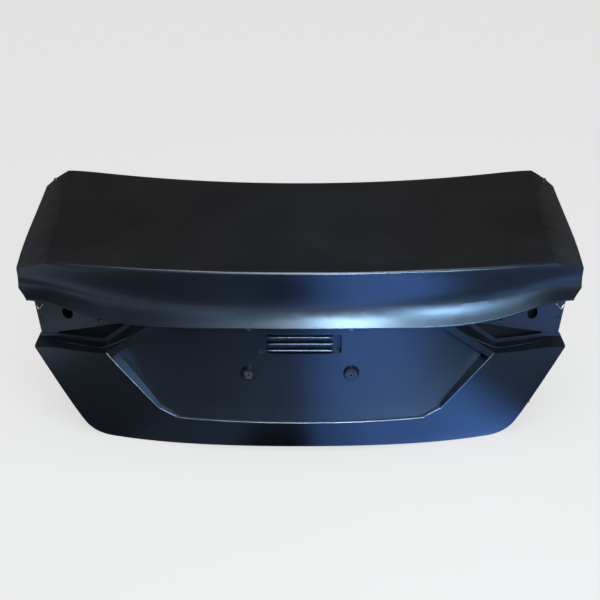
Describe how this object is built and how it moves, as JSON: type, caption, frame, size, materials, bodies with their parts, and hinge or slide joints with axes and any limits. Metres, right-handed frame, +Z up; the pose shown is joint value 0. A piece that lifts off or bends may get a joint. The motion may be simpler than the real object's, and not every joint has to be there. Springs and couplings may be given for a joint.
{
  "type": "car trunk lid",
  "caption": "Bare pressed-steel trunk lid of a saloon car: bowed deck with a rear lip, hollow band, plate recess with a ribbed grip, lamp pockets and lower wings.",
  "frame": {"origin": "centre of the four hinge bolts, on the underside of the hinge seats, on the lid's centre plane", "axes": "+X across the car to the right as seen from behind, -Y toward the rear of the car, +Z up"},
  "size_m": [1.182, 0.5469, 0.4679],
  "materials": {
    "coated_outer": "satin black electro-coat, faint blue sheen",
    "coated_inner": "satin black electro-coat",
    "zinc_steel": "plain zinc",
    "yellow_zinc": "yellow zinc",
    "dark_nylon": "matte"
  },
  "bodies": {
    "root": {"upper_outer_panel": "coated_outer", "lower_outer_panel": "coated_outer", "lamp_housing_left": "coated_outer", "lamp_housing_right": "coated_outer", "inner_panel": "coated_inner", "hinge_reinforcement_left": "coated_inner", "hinge_reinforcement_right": "coated_inner", "latch_reinforcement": "coated_inner", "hinge_weld_nuts_left": "zinc_steel", "hinge_weld_nuts_right": "zinc_steel", "latch_weld_nuts": "zinc_steel", "lamp_weld_nuts_left": "yellow_zinc", "lamp_weld_nuts_right": "yellow_zinc", "plate_screw_nuts": "dark_nylon"}
  },
  "joints": []
}
